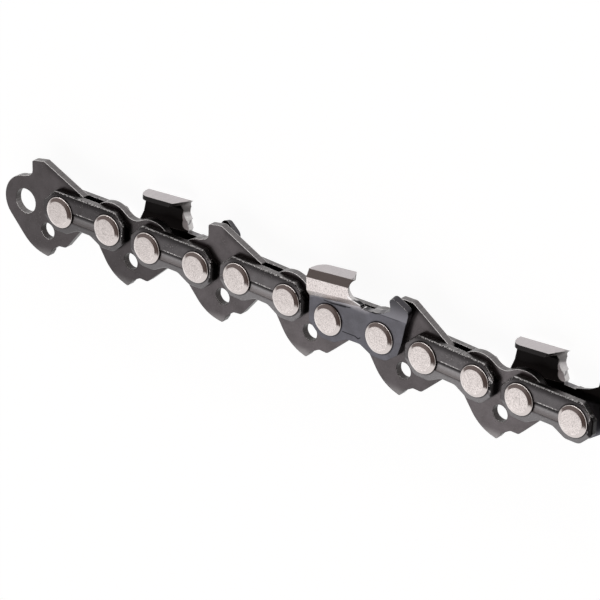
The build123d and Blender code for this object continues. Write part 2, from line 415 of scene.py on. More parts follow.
def plateEffects(tree, coords, look, **more):
    grain = placeGroup(tree, steelGrain, Vector=coords["Object"], **look["grain"])
    edge = placeGroup(tree, rubbedEdgeAndHighlight, Vector=coords["Object"], **look["rubbingAndHighlight"], **more)
    ridges = placeGroup(tree, shearMarks, Vector=coords["Object"])["Ridges"]
    return grain, edge, ridges


# the finish rubbed off along upper edges, with a painted highlight there, but where it is spared,
# and the roughness with it
def rubOffWithHighlight(tree, look, base, grain, edge, spared=0.0):
    shade, share = look["rubbedAndHighlight"]
    rubAndHighlight = times(tree, edge["Mask"], share, inverse(tree, spared))
    rough = mixNumber(tree, grain["Grain"], *look["rough"])
    return mixColour(tree, rubAndHighlight, base, shade), mixNumber(tree, rubAndHighlight, rough, look["rubbedRough"])


# grain all over, and shear marks on the cut edges
def plateHeight(tree, grain, ridges, flat):
    return maths(tree, "ADD", grain["Height"], times(tree, ridges, inverse(tree, flat)))


bumpStrength = 0.4


def finishSurface(tree, shader, base, rough, height, normal, depth):
    tree.links.new(base, shader.inputs["Base Color"])
    tree.links.new(rough, shader.inputs["Roughness"])
    bump = addNode(tree, "ShaderNodeBump")
    bump.inputs["Strength"].default_value = bumpStrength
    bump.inputs["Distance"].default_value = depth
    tree.links.new(height, bump.inputs["Height"])
    if normal is not None:
        tree.links.new(normal, bump.inputs["Normal"])
    tree.links.new(bump.outputs["Normal"], shader.inputs["Normal"])


# In the looks below, lengths are in millimetres in a link's own frame: along it from its
# rear rivet, up toward the cutting side, and out of the plate. Two numbers are where a
# mask starts and where it is full, and a third beside them is how soft its ends are.
# "Turn" says how far a face looks up, from -1 to 1, and "Line" gives a line's place and
# the distance at which it has faded.

# Drive links: satin black oxide, lighter toward the tang's tip, ribbed on the punched edges

driveLook = {
    "grain": {"Scale": 7000.0, "Cloud_Scale": 420.0, "Speck_Amount": 0.25},
    "rubbingAndHighlight": {"Width": 0.20 * mm, "Rounding": 0.13 * mm, "Breaks": 2600.0, "Gaps": 0.36},
    "face": colour(0.172, 0.155, 0.160),
    "cloud": colour(0.140, 0.126, 0.129),
    "flatTurn": (0.5, 0.85),  # how far a face looks out of the plate
    "tip": (colour(0.40, 0.382, 0.382), 0.75), "tipUp": (-7.2, -8.9),
    "shadeUnderRamp": (colour(0.055, 0.050, 0.051), 0.65),
    "rampPoint": (4.75, 7.75), "rampSlope": 30.0,  # the bumper's ramp
    "rampBelow": (1.3, 0.1), "rampAlong": (4.4, 5.6),
    "cutEdge": colour(0.070, 0.064, 0.063),
    "topEdge": (colour(0.135, 0.125, 0.125), 1.0), "topTurn": (0.2, 0.7),
    "ridge": (colour(0.26, 0.245, 0.245), 0.6), "ridgeTurn": (-0.2, 0.5),
    "holeShade": (colour(0.030, 0.026, 0.025), 0.8),
    "oilHole": (4.45, -4.40, 0.0), "oilHoleReach": (1.75, 1.60),
    "grime": (colour(0.03, 0.028, 0.027), 0.15),
    "speck": (colour(0.95, 0.92, 0.91), 0.4),
    "under": (colour(0.012, 0.011, 0.011), 0.45),
    "rubbedAndHighlight": (colour(0.95, 0.92, 0.91), 1.0),
    "rough": (0.28, 0.40), "rubbedRough": 0.30,
    "bumpDepth": 0.012 * mm,
}


def driveMaterial(name, place, tone):
    look = driveLook
    material, tree, shader, coords = newMaterial(f"oxide_{name}")
    along, up, out, own = ownAxes(tree, coords, place)
    normal = faceDirection(tree, coords)
    grain, edge, ridges = plateEffects(tree, coords, look)
    flat = rise(tree, maths(tree, "ABSOLUTE", normal[2]), *look["flatTurn"])
    face = mixColour(tree, grain["Clouds"], toned(look["face"], tone), toned(look["cloud"], tone))
    face = paint(tree, face, rise(tree, up, *look["tipUp"]), look["tip"], tone)
    if "bumper" in name:
        # painted shade within a short distance below the ramp's line
        slope, (rampX, rampY) = radians(look["rampSlope"]), look["rampPoint"]
        line = maths(tree, "SUBTRACT", rampY + rampX * tan(slope), times(tree, along, tan(slope)))
        below = times(tree, maths(tree, "SUBTRACT", line, up), cos(slope))
        shade = times(tree, rise(tree, below, *look["rampBelow"]),
                      rise(tree, along, *look["rampAlong"]))
        face = paint(tree, face, shade, look["shadeUnderRamp"], tone)
    # cut faces: darker, with painted light where they face up
    cut = paint(tree, look["cutEdge"], rise(tree, normal[1], *look["topTurn"]), look["topEdge"])
    ribbed = times(tree, ridges, rise(tree, normal[1], *look["ridgeTurn"]))
    cut = paint(tree, cut, ribbed, look["ridge"])
    # painted shade on the oil hole's wall
    hole = rise(tree, levelDistance(tree, own, look["oilHole"]), *look["oilHoleReach"])
    cut = paint(tree, cut, hole, look["holeShade"])
    base = mixColour(tree, flat, cut, face)
    base = paint(tree, base, grain["Grain"], look["grime"])
    base = paint(tree, base, grain["Specks"], look["speck"])
    # painted shade on the lower edges
    base = paint(tree, base, edge["Under"], look["under"])
    base, rough = rubOffWithHighlight(tree, look, base, grain, edge)
    height = plateHeight(tree, grain, ridges, flat)
    finishSurface(tree, shader, base, rough, height, edge["Normal"], look["bumpDepth"])
    return material


# Tie straps: the same oxide with the pressed oil groove, painted shade under the rolled top, and
# black ends

strapLook = {
    "grain": {"Scale": 7000.0, "Cloud_Scale": 500.0, "Speck_Amount": 0.4},
    "rubbingAndHighlight": {"Width": 0.20 * mm, "Rounding": 0.14 * mm, "Breaks": 4600.0, "Gaps": 0.50},
    "rimTurn": (0.50, 0.85, 0.08), "rimOut": (0.4, 0.6), "rimAmount": 0.55,
    "face": colour(0.168, 0.158, 0.163),
    "cloud": colour(0.130, 0.121, 0.124),
    "flatTurn": (0.35, 0.6),
    "shadeUnderTop": (colour(0.030, 0.027, 0.028), 0.85), "shadeUnderTopUp": (2.0, 3.15),
    "grooveMiddle": -0.30, "grooveHalf": 0.87,  # as in the part's source
    "grooveAlong": (2.75, 7.40, 0.15), "grooveOut": (1.2, 1.4),
    "low": (colour(0.255, 0.246, 0.251), 1.0), "lowOverLip": (0.1, -0.4),
    "grooveWallHighlight": (colour(0.80, 0.78, 0.79), 0.9), "wallRough": 0.62,
    "wallFall": (-0.25, 0.35), "wallFoot": (-0.02, 0.10),  # from the groove's two lips
    "black": colour(0.008, 0.007, 0.007),
    "lipShadeAmount": 0.93, "lipTop": (0.10, -0.02), "lipFoot": (-0.75, -0.10),
    "dotsLine": (0.14, 0.13), "dotsAlong": (3.4, 6.9, 0.4), "dotsGrain": (0.45, 0.65),
    "end": colour(0.010, 0.009, 0.009), "endAmount": 0.92,
    "topEdge": (colour(0.120, 0.113, 0.113), 1.0), "topTurn": (0.45, 0.8),
    "ridge": (colour(0.36, 0.34, 0.34), 0.55), "ridgeTurn": (0.3, 0.7),
    "brokenFrom": 2.55,  # past the front rivet, the punched end is rounded and broken
    "brokenRagged": 0.9, "brokenAlong": (0.1, 0.45),
    "brokenUp": (-1.9, 2.9, 0.4), "brokenOut": (0.8, 1.1),
    "burrLine": (0.25, 0.22), "burrGrain": (0.55, 0.75), "burrUp": (-1.6, 0.2),
    "grime": (colour(0.03, 0.028, 0.027), 0.18),
    "speckAmount": 0.6, "underShadeAmount": 0.5,
    "rubbedAndHighlight": (colour(0.90, 0.87, 0.86), 0.95),
    "rough": (0.26, 0.40), "rubbedRough": 0.30,
    "bumpDepth": 0.014 * mm,
}


def strapMaterial(name, place, tone, side):
    look = strapLook
    material, tree, shader, coords = newMaterial(f"oxide_{name}")
    along, up, out, own = ownAxes(tree, coords, place, side)
    normal = faceDirection(tree, coords)
    # rubbed wear and painted highlight on the strap's rim where it faces up
    rim = times(tree, between(tree, normal[1], *look["rimTurn"]),
                rise(tree, times(tree, normal[2], float(side)), *look["rimOut"]),
                look["rimAmount"])
    grain, edge, ridges = plateEffects(tree, coords, look, Rim=rim)
    flat = rise(tree, maths(tree, "ABSOLUTE", normal[2]), *look["flatTurn"])
    face = mixColour(tree, grain["Clouds"], toned(look["face"], tone), toned(look["cloud"], tone))
    # painted shade in a band under the rolled top
    face = paint(tree, face, rise(tree, up, *look["shadeUnderTopUp"]), look["shadeUnderTop"], tone)

    # the groove: painted shade under its upper lip, painted light below it, and a painted
    # highlight where its lower wall turns to the light
    upperLip = look["grooveMiddle"] + look["grooveHalf"]
    lowerLip = look["grooveMiddle"] - look["grooveHalf"]
    low = rise(tree, up, *(lowerLip + over for over in look["lowOverLip"]))
    face = paint(tree, face, low, look["low"], tone)
    inGroove = times(tree, between(tree, along, *look["grooveAlong"]),
                     rise(tree, out, *look["grooveOut"]))
    fall, toFoot = look["wallFall"]
    wall = times(tree, rise(tree, up, upperLip + fall, lowerLip + toFoot),
                 rise(tree, up, *(lowerLip + over for over in look["wallFoot"])), inGroove)
    face = paint(tree, face, wall, look["grooveWallHighlight"], tone)
    face = mixColour(tree, headShadow(tree, own), face, look["black"])
    # cut faces: black, with painted light where they face up
    cut = paint(tree, look["end"], rise(tree, normal[1], *look["topTurn"]), look["topEdge"])
    ribbed = times(tree, ridges, rise(tree, normal[1], *look["ridgeTurn"]))
    cut = paint(tree, cut, ribbed, look["ridge"])
    base = mixColour(tree, flat, cut, face)
    base = paint(tree, base, grain["Grain"], look["grime"])
    # painted shade under the groove's upper lip
    lip = times(tree, rise(tree, up, *(upperLip + over for over in look["lipTop"])),
                rise(tree, up, *(upperLip + over for over in look["lipFoot"])), inGroove)
    base = paint(tree, base, lip, (look["black"], look["lipShadeAmount"]))
    # bright dots of painted glint along the groove's upper lip
    over, reach = look["dotsLine"]
    dots = times(tree, lineMask(tree, up, upperLip + over, reach), inGroove,
                 between(tree, along, *look["dotsAlong"]),
                 rise(tree, grain["Grain"], *look["dotsGrain"]))

    # broken front end: black behind a ragged line of painted highlight
    wander = times(tree, maths(tree, "SUBTRACT", grain["Clouds"], 0.5), look["brokenRagged"])
    ragged = maths(tree, "ADD", along, wander)
    start = headRing["span"] + look["brokenFrom"]
    onEnd = times(tree, between(tree, up, *look["brokenUp"]), rise(tree, out, *look["brokenOut"]))
    broken = rise(tree, ragged, *(start + past for past in look["brokenAlong"]))
    broken = times(tree, broken, onEnd)
    base = paint(tree, base, broken, (look["end"], look["endAmount"]))
    past, reach = look["burrLine"]
    burrGlint = times(tree, lineMask(tree, ragged, start + past, reach), onEnd,
                 rise(tree, grain["Grain"], *look["burrGrain"]),
                 rise(tree, up, *look["burrUp"]))
    bright = largest(tree, times(tree, grain["Specks"], look["speckAmount"]), dots, burrGlint)
    base = mixColour(tree, bright, base, look["rubbedAndHighlight"][0])
    # painted shade on the lower edges
    base = paint(tree, base, edge["Under"], (look["black"], look["underShadeAmount"]))
    base, rough = rubOffWithHighlight(tree, look, base, grain, edge, spared=broken)
    rough = mixNumber(tree, wall, rough, look["wallRough"])
    height = plateHeight(tree, grain, ridges, flat)
    finishSurface(tree, shader, base, rough, height, edge["Normal"], look["bumpDepth"])
    return material


# Cutters: bluish plate, bright worked side with a painted highlight, dark chamfer, pale top
# plate, filed edges

cutterLook = {
    "grain": {"Scale": 6000.0, "Cloud_Scale": 450.0, "Speck_Amount": 0.25},
    "rubbingAndHighlight": {"Width": 0.16 * mm, "Rounding": 0.11 * mm, "Breaks": 2400.0, "Gaps": 0.44},
    # lie of the part, as in its source: side plate's bend, chamfer's lower edge, file, gullet
    "bendAtRivet": 3.416, "bendSlope": 0.1086,
    "cornerAtRivet": 6.965, "cornerSlope": 0.077,
    "plateFace": 1.795, "toothEnd": 8.0, "gaugeFold": 4.10,
    "fileX": 6.35, "fileUp": 7.00, "fileRadius": 2.00, "fileAngle": 30.0,
    "gulletFloor": 3.97, "gulletFront": 9.30, "gulletSlope": 0.42,
    "faceOut": (0.3, 0.6),  # how far an outer face looks out, and an inner one in
    "toothSoft": 0.2, "foldSoft": 0.08, "gaugeSoft": 0.5,
    # plate and depth gauge
    "plate": colour(0.180, 0.178, 0.202),
    "plateCloud": colour(0.145, 0.143, 0.160),
    "gaugeLow": colour(0.250, 0.246, 0.270),
    "gaugeHigh": colour(0.080, 0.078, 0.086), "gaugeFade": 3.4,
    "fold": (colour(0.03, 0.03, 0.034), 0.65),
    "foldLine": (-0.08, 0.13), "foldAlong": (9.0, 14.0, 0.6),
    # bright side of the tooth
    "band": colour(0.83, 0.765, 0.745),
    "bandDull": colour(0.50, 0.455, 0.445), "bandGrain": (0.45, 0.9),
    "bandFoot": colour(0.62, 0.60, 0.63), "bandFull": (0.55, 0.98),
    "bandFrom": -0.05, "bandOver": 0.55, "bandSoft": 0.15, "bandRagged": 0.25,
    "chamfer": (colour(0.55, 0.51, 0.49), 1.0), "chamferOver": (-0.03, 0.03),
    # cut edges, inner side and top plate
    "cutEdge": colour(0.045, 0.042, 0.044),
    "topEdge": (colour(0.155, 0.148, 0.158), 1.0), "topTurn": (0.3, 0.7),
    "ridge": (colour(0.10, 0.095, 0.10), 0.35),
    "nose": (colour(0.040, 0.038, 0.044), 0.75), "noseAlong": (9.6, 10.4), "noseUp": (4.7, 5.1),
    "inner": (colour(0.026, 0.024, 0.024), 1.0), "innerUp": (2.4, 3.2),
    "topPlate": colour(0.56, 0.52, 0.525), "topDull": (colour(0.34, 0.32, 0.325), 0.22),
    "topPlateTurn": (0.6, 0.85), "topPlateOver": (0.6, 0.8),
    # filed face, with distances past the file's radius; the inner side is worn lower down
    "filed": colour(0.62, 0.60, 0.595), "filedRidges": 0.25,
    "filedDull": colour(0.22, 0.21, 0.207), "filedUp": (-1.3, 0.4),
    "filedReach": (0.12, 0.04), "filedOut": (0.45, 0.65),
    "slopeAlong": (4.9, 7.6, 0.3), "slopeReach": (0.10, 0.20), "slopeUp": (3.9, 4.2),
    "wear": (colour(0.98, 0.95, 0.96), 1.0), "wearUp": 6.25,
    "wearReach": (0.04, -0.04), "wearTop": (6.6, 6.3), "wearRough": 0.60,
    # gullet
    "gulletAlong": (7.0, 11.0, 0.25),
    "facetLightAmount": 0.30, "facetUnder": (0.02, 0.14), "facetUp": (4.95, 4.8),
    "facetAlong": (8.3, 8.7),
    "black": colour(0.012, 0.012, 0.014), "turnedShadowLine": (-0.05, 0.20),
    "turnedShadowAmount": 0.95, "slopeShadeAmount": 0.92,
    "ledgeLightAmount": 0.30, "ledgeTurn": (0.5, 0.8), "ledgeAlong": (7.9, 9.9, 0.3),
    "ledgeUp": (5.4, 5.0),
    # width, start and end of each stroke: pressed marks on the plate, burrs with a painted
    # highlight on the tooth
    "marks": ((0.14, (-0.94, 3.08), (0.46, 3.02)), (0.25, (0.46, 3.02), (2.20, 3.15)),
              (0.33, (2.20, 3.15), (3.30, 3.25)), (0.17, (3.30, 3.25), (4.25, 3.37)),
              (0.15, (2.90, -1.15), (5.40, -1.20)), (0.20, (5.40, -1.20), (6.00, -1.45)),
              (0.16, (6.00, -1.45), (6.38, -1.18))),
    "markAmount": 0.95, "markDepth": 0.8,
    "burrGlints": ((0.30, (4.60, 5.70, 2.90), (5.25, 5.30, 2.80)),
              (0.30, (5.25, 5.30, 2.80), (6.26, 4.50, 2.07)),
              (0.26, (6.26, 4.50, 2.07), (6.70, 3.98, 1.80)),
              (0.22, (6.70, 4.02, 1.80), (6.70, 4.02, 0.85))),
    "burrGlint": colour(0.97, 0.95, 0.95), "burrEdge": (0.25, 0.6),
    # all over, and along the edges
    "ringShade": (colour(0.010, 0.010, 0.012), 1.0),
    "grime": (colour(0.05, 0.048, 0.048), 0.10),
    "under": (colour(0.012, 0.011, 0.012), 0.4), "smoothOver": (-0.8, 0.8, 0.2),
    "rubbedAndHighlight": (colour(0.66, 0.635, 0.63), 0.85), "unwornUp": (3.9, 4.1),
    "rough": (0.27, 0.42), "rubbedRough": 0.30,
    "bumpDepth": 0.012 * mm,
}


def cutterMaterial(name, place, side):
    look = cutterLook
    material, tree, shader, coords = newMaterial(f"steel_{name}")
    along, up, out, own = ownAxes(tree, coords, place, side)
    normal = faceDirection(tree, coords)
    outward = times(tree, normal[2], float(side))
    grain, edge, ridges = plateEffects(tree, coords, look)
    bend = maths(tree, "ADD", times(tree, along, look["bendSlope"]), look["bendAtRivet"])
    aboveBend = maths(tree, "SUBTRACT", up, bend)
    corner = maths(tree, "ADD", times(tree, along, look["cornerSlope"]), look["cornerAtRivet"])
    aboveCorner = maths(tree, "SUBTRACT", up, corner)
    toothEnd, toothSoft = look["toothEnd"], look["toothSoft"]
    gaugeFold, foldSoft = look["gaugeFold"], look["foldSoft"]
    onTooth = rise(tree, along, toothEnd + toothSoft, toothEnd - toothSoft)
    onGauge = times(tree, rise(tree, up, gaugeFold - foldSoft, gaugeFold + foldSoft),
                    rise(tree, along, toothEnd, toothEnd + look["gaugeSoft"]))
    outerFace = rise(tree, outward, *look["faceOut"])
    innerFace = rise(tree, outward, *(-share for share in look["faceOut"]))

    # plate, with painted light on the depth gauge, lightest just above its fold, and painted
    # shade along the fold
    base = mixColour(tree, grain["Clouds"], look["plate"], look["plateCloud"])
    gauge = mixColour(tree, rise(tree, up, gaugeFold, gaugeFold + look["gaugeFade"]),
                      look["gaugeLow"], look["gaugeHigh"])
    base = mixColour(tree, onGauge, base, gauge)
    over, reach = look["foldLine"]
    fold = times(tree, lineMask(tree, up, gaugeFold + over, reach),
                 between(tree, along, *look["foldAlong"]))
    base = paint(tree, base, fold, look["fold"])

    # bright worked side of the tooth, with a painted highlight where it fades into the plate
    # below the bend
    ragged = maths(tree, "ADD", aboveBend, times(tree, grain["Clouds"], look["bandRagged"]))
    soft = times(tree, maths(tree, "MAXIMUM", along, 0.0), look["bandSoft"])
    spread = maths(tree, "ADD", soft, look["bandOver"])
    ragged = maths(tree, "ADD", maths(tree, "SUBTRACT", ragged, look["bandFrom"]), soft)
    band = times(tree, rise(tree, maths(tree, "DIVIDE", ragged, spread), 0.0, 1.0), onTooth)
    bandColour = mixColour(tree, rise(tree, grain["Grain"], *look["bandGrain"]), look["band"],
                           look["bandDull"])
    bandColour = mixColour(tree, rise(tree, band, *look["bandFull"]), look["bandFoot"],
                           bandColour)
    base = mixColour(tree, band, base, bandColour)
    chamfer = times(tree, rise(tree, aboveCorner, *look["chamferOver"]), onTooth)
    base = paint(tree, base, chamfer, look["chamfer"])

    # cut edges, with painted light where they face up, inner side and top plate
    onSide = maths(tree, "SUBTRACT", 1.0, maths(tree, "ADD", outerFace, innerFace), clamp=True)
    cut = paint(tree, look["cutEdge"], rise(tree, normal[1], *look["topTurn"]), look["topEdge"])
    cut = paint(tree, cut, ridges, look["ridge"])
    nose = times(tree, rise(tree, along, *look["noseAlong"]), rise(tree, up, *look["noseUp"]))
    cut = paint(tree, cut, nose, look["nose"])
    base = mixColour(tree, onSide, base, cut)
    inner = times(tree, innerFace, rise(tree, up, *look["innerUp"]))
    base = paint(tree, base, inner, look["inner"])
    topPlate = times(tree, rise(tree, normal[1], *look["topPlateTurn"]),
                     rise(tree, aboveCorner, *look["topPlateOver"]))
    base = mixColour(tree, topPlate, base, paint(tree, look["topPlate"], ridges, look["topDull"]))

    # filed face: all that lies within the file's radius of its slanting path
    fileAngle, fileRadius = radians(look["fileAngle"]), look["fileRadius"]
    axis = maths(tree, "ADD", times(tree, maths(tree, "SUBTRACT", out, look["plateFace"]),
                                    tan(fileAngle)), look["fileX"])
    across = times(tree, maths(tree, "SUBTRACT", along, axis), cos(fileAngle))
    rising = maths(tree, "SUBTRACT", up, look["fileUp"])
    reach = diagonal(tree, across, rising)
    filed = times(tree, rise(tree, reach, *(fileRadius + past for past in look["filedReach"])),
                  onTooth, rise(tree, out, *look["filedOut"]))
    slope = times(tree, onSide, between(tree, along, *look["slopeAlong"]),
                  rise(tree, reach, *(fileRadius + past for past in look["slopeReach"])))
    # on the far cutters the slope is painted light with the filed colour
    if side < 0:
        lit = times(tree, slope, rise(tree, up, *look["slopeUp"]))
        filed = maths(tree, "MAXIMUM", filed, lit)
    filedColour = mixColour(tree, rise(tree, rising, *look["filedUp"]), look["filed"],
                            look["filedDull"])
    filedColour = paint(tree, filedColour, ridges, (look["filedDull"], look["filedRidges"]))
    base = mixColour(tree, filed, base, filedColour)
    wear = 0.0
    if side < 0:
        wear = diagonal(tree, across, maths(tree, "SUBTRACT", up, look["wearUp"]))
        wear = times(tree, rise(tree, wear, *(fileRadius + past for past in look["wearReach"])),
                     innerFace, rise(tree, up, *look["wearTop"]))
        base = paint(tree, base, wear, look["wear"])

    # gullet: a painted light facet on its floor, a painted shadow in a dark line where its outer
    # edge turns over, painted shade on the near cutter's slope, and a painted reflection on the
    # upward ledge
    floor = maths(tree, "SUBTRACT", along, look["gulletFront"])
    floor = times(tree, maths(tree, "MAXIMUM", floor, 0.0), look["gulletSlope"])
    belowFloor = maths(tree, "SUBTRACT", up, maths(tree, "ADD", floor, look["gulletFloor"]))
    inGullet = times(tree, between(tree, along, *look["gulletAlong"]), outerFace)
    facet = times(tree, rise(tree, belowFloor, *look["facetUnder"]), inGullet,
                  rise(tree, up, *look["facetUp"]), rise(tree, along, *look["facetAlong"]))
    base = paint(tree, base, facet, (look["filed"], look["facetLightAmount"]))
    turned = times(tree, lineMask(tree, belowFloor, *look["turnedShadowLine"]), inGullet)
    base = paint(tree, base, turned, (look["black"], look["turnedShadowAmount"]))
    # painted shade on the near cutter's slope
    if side > 0:
        base = paint(tree, base, slope, (look["black"], look["slopeShadeAmount"]))
    ledge = times(tree, onSide, rise(tree, normal[1], *look["ledgeTurn"]),
                  between(tree, along, *look["ledgeAlong"]), rise(tree, up, *look["ledgeUp"]))
    base = paint(tree, base, ledge, (look["filed"], look["ledgeLightAmount"]))

    # pressed marks, painted shadow rings round the rivet heads, and burrs with a painted
    # highlight on the near cutter's filed edge
    face = look["plateFace"]
    marks = strokes(tree, own, [(width, (*start, face), (*end, face))
                                for width, start, end in look["marks"]])
    base = paint(tree, base, marks, (look["black"], look["markAmount"]))
    base = paint(tree, base, times(tree, headShadow(tree, own), outerFace), look["ringShade"])
    base = paint(tree, base, grain["Grain"], look["grime"])
    if side > 0:
        burrGlints = rise(tree, strokes(tree, own, look["burrGlints"]), *look["burrEdge"])
        base = mixColour(tree, burrGlints, base, look["burrGlint"])

    # edges, which the smooth bend and the filed and inner faces have none of: painted shade on
    # the lower ones, rubbed wear and a painted highlight on the upper ones
    smooth = times(tree, between(tree, aboveBend, *look["smoothOver"]), onTooth, outerFace)
    base = paint(tree, base, times(tree, edge["Under"], inverse(tree, smooth)), look["under"])
    unworn = times(tree, innerFace, rise(tree, up, *look["unwornUp"]))
    spared = maths(tree, "MAXIMUM", filed, unworn)
    base, rough = rubOffWithHighlight(tree, look, base, grain, edge, spared)
    rough = mixNumber(tree, wear, rough, look["wearRough"])
    height = maths(tree, "SUBTRACT", grain["Height"], times(tree, marks, look["markDepth"]))
    finishSurface(tree, shader, base, rough, height, edge["Normal"], look["bumpDepth"])
    return material


# 1 for a piece on the near side of the row, and -1 for one on its far side
def sideOf(name):
    return -1 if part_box(name)[1].z < 0.5 * mm else 1


def dressPlates():
    finishes = {}
    for number, (name, tone) in enumerate(chainLook["driveLinks"].items(), 1):
        finishes[name] = driveMaterial(name, driveFrame(number), tone)
    for name, tone in chainLook["straps"].items():
        place = plateFrame(int(name[-1]))
        finishes[name] = strapMaterial(name, place, tone, sideOf(name))
    for name, pair in chainLook["cutters"].items():
        finishes[name] = cutterMaterial(name, plateFrame(pair), sideOf(name))
    for name, material in finishes.items():
        for slot in nodes[name].material_slots:
            slot.material = material
    print("plates dressed:", len(finishes))


# Rivets: turned pieces with spun heads

rivetLook = {
    "hubRadius": 2.10, "hubHalf": 0.695,
    "shankRadius": 1.50, "plateFace": 1.795,
    "headRadius": 2.68, "faceRadius": 2.02, "headHeight": 0.60,
    "footCut": 0.05, "footShare": 0.3, "footHeight": 0.04, "rimHeight": 0.09,
    "crown": 0.012,
    "rollRadius": 0.32, "coneTilt": 29.0, "lipRadius": 0.12,
    "segments": 96, "rollSteps": 10, "coneSteps": 6, "lipSteps": 5, "faceSteps": 8,
    "sharpAngle": 50.0,
    "unevenness": 0.035, "wavesFrom": 0.3, "firstSeed": 40,
    "waveStart": (0.1, 0.2), "waveInside": (0.5, 1.4),  # above the plate, and from the axis
    "grain": {"Scale": 7000.0, "Cloud_Scale": 900.0, "Speck_Amount": 0.0},
    "steel": colour(0.84, 0.775, 0.752),
    "dull": (colour(0.50, 0.455, 0.44), 0.8), "dullGrain": (0.42, 0.85),
    "shoulder": colour(0.84, 0.775, 0.75), "faceTurn": (0.90, 0.985),
    "spunLine": (0.55, 0.16),  # the faint ring that the spinning tool leaves
    "spunClouds": (0.3, 0.8), "spunAmount": 0.35, "spunDepth": 0.5,
    "rough": (0.22, 0.38), "shoulderRough": 0.13,
    "bumpDepth": 0.016 * mm,
}


# Radius and height of one half of a rivet, from the middle plane to the crown of its head.
# Above the rim an arc of radius rollRadius turns the wall over from upright to the slope
# of a cone, and the cone runs up to a small rolled lip at the flat face:
# r = R - rho (1 - cos a), z = h + rho sin a with a from 0 to 90 - coneTilt degrees.
def rivetProfile():
    look = rivetLook
    base = look["plateFace"]
    rho, cone, lip = look["rollRadius"], radians(look["coneTilt"]), look["lipRadius"]
    turn = np.linspace(0, np.pi / 2 - cone, look["rollSteps"])
    rollR = look["headRadius"] - rho * (1 - np.cos(turn))
    rollZ = base + look["rimHeight"] + rho * np.sin(turn)
    top = base + look["headHeight"] - look["crown"]
    over = np.linspace(cone, 0, look["lipSteps"])
    lipR = look["faceRadius"] + lip * np.sin(over)
    lipZ = top - lip * (1 - np.cos(over))
    share = np.linspace(0, 1, look["coneSteps"])[1:-1]
    coneR = rollR[-1] + (lipR[0] - rollR[-1]) * share
    coneZ = rollZ[-1] + (lipZ[0] - rollZ[-1]) * share
    inner = np.linspace(1, 0, look["faceSteps"])[1:]
    faceR = look["faceRadius"] * inner
    faceZ = base + look["headHeight"] - look["crown"] * inner ** 2
    foot = look["headRadius"] - look["footCut"]
    startR = [look["hubRadius"], look["hubRadius"], look["shankRadius"], look["shankRadius"],
              foot, look["headRadius"] - look["footCut"] * look["footShare"]]
    startZ = [0.0, look["hubHalf"], look["hubHalf"], base, base, base + look["footHeight"]]
    return (np.concatenate([startR, rollR, coneR, lipR, faceR]),
            np.concatenate([startZ, rollZ, coneZ, lipZ, faceZ]))


# Surface of revolution of the profile and its mirror image about the rivet's own axis:
# each ring is the profile's radius times the unit circle. On the heads it is drawn in by
# two slow waves round the axis, since no spun head is quite round.
def turnedRivet(name, number):
    look = rivetLook
    centre = rivetPoint(number)
    random = np.random.default_rng(look["firstSeed"] + number)
    radius, height = rivetProfile()
    radius = np.concatenate([radius[::-1][:-1], radius])
    height = np.concatenate([-height[::-1][:-1], height])
    around = np.linspace(0, 2 * np.pi, look["segments"], endpoint=False)
    phase = random.uniform(0, 2 * np.pi, 2)
    size = random.uniform(look["wavesFrom"], 1.0, 2) * look["unevenness"]
    wave = size[0] * np.cos(2 * around + phase[0]) + size[1] * np.cos(3 * around + phase[1])
    (start, climb), (inside, widen) = look["waveStart"], look["waveInside"]
    onHead = np.clip((np.abs(height) - look["plateFace"] - start) / climb, 0, 1)
    onHead = onHead * np.clip((radius - inside) / widen, 0, 1)
    rings = radius[1:-1, None] - np.abs(wave)[None, :] * onHead[1:-1, None]
    x = rings * np.cos(around)[None, :]
    y = rings * np.sin(around)[None, :]
    z = np.repeat(height[1:-1, None], look["segments"], axis=1)
    grid = np.stack([x, y, z], axis=-1).reshape(-1, 3)
    poles = np.array([[0, 0, height[0]], [0, 0, height[-1]]])
    verts = np.concatenate([grid, poles]) * mm + np.array([centre.x, centre.y, 0.0])
    count, rows = look["segments"], len(height) - 2
    step = np.arange(count)
    after = (step + 1) % count
    lower = np.arange(rows - 1)[:, None] * count
    quads = np.stack([lower + step, lower + after, lower + count + after, lower + count + step],
                     axis=-1).reshape(-1, 4)
    bottom = np.stack([np.full(count, rows * count), after, step], axis=-1)
    last = (rows - 1) * count
    cap = np.stack([np.full(count, rows * count + 1), last + step, last + after], axis=-1)
    mesh = bpy.data.meshes.new(name)
    mesh.from_pydata(verts.tolist(), [], quads.tolist() + bottom.tolist() + cap.tolist())
    mesh.shade_smooth()
    mesh.set_sharp_from_angle(angle=radians(look["sharpAngle"]))
    piece = bpy.data.objects.new(name, mesh)
    bpy.context.scene.collection.objects.link(piece)
    return piece


def rivetMaterial(number):
    look = rivetLook
    material, tree, shader, coords = newMaterial(f"rivetSteel_{number}")
    centre = rivetPoint(number)
    own = ownAxes(tree, coords, (centre.x, centre.y, 0.0))[-1]
    normal = faceDirection(tree, coords)
    grain = placeGroup(tree, steelGrain, Vector=coords["Object"], **look["grain"])
    flat = rise(tree, maths(tree, "ABSOLUTE", normal[2]), *look["faceTurn"])
    ring = times(tree, lineMask(tree, levelDistance(tree, own, (0, 0, 0)), *look["spunLine"]),
                 rise(tree, grain["Clouds"], *look["spunClouds"]))
    base = paint(tree, look["steel"], rise(tree, grain["Grain"], *look["dullGrain"]),
                 look["dull"])
    base = paint(tree, base, ring, (look["dull"][0], look["spunAmount"]))
    base = mixColour(tree, flat, look["shoulder"], base)
    rough = mixNumber(tree, grain["Grain"], *look["rough"])
    rough = mixNumber(tree, flat, look["shoulderRough"], rough)
    height = maths(tree, "SUBTRACT", grain["Height"], times(tree, ring, look["spunDepth"]))
    finishSurface(tree, shader, base, rough, height, None, look["bumpDepth"])
    return material


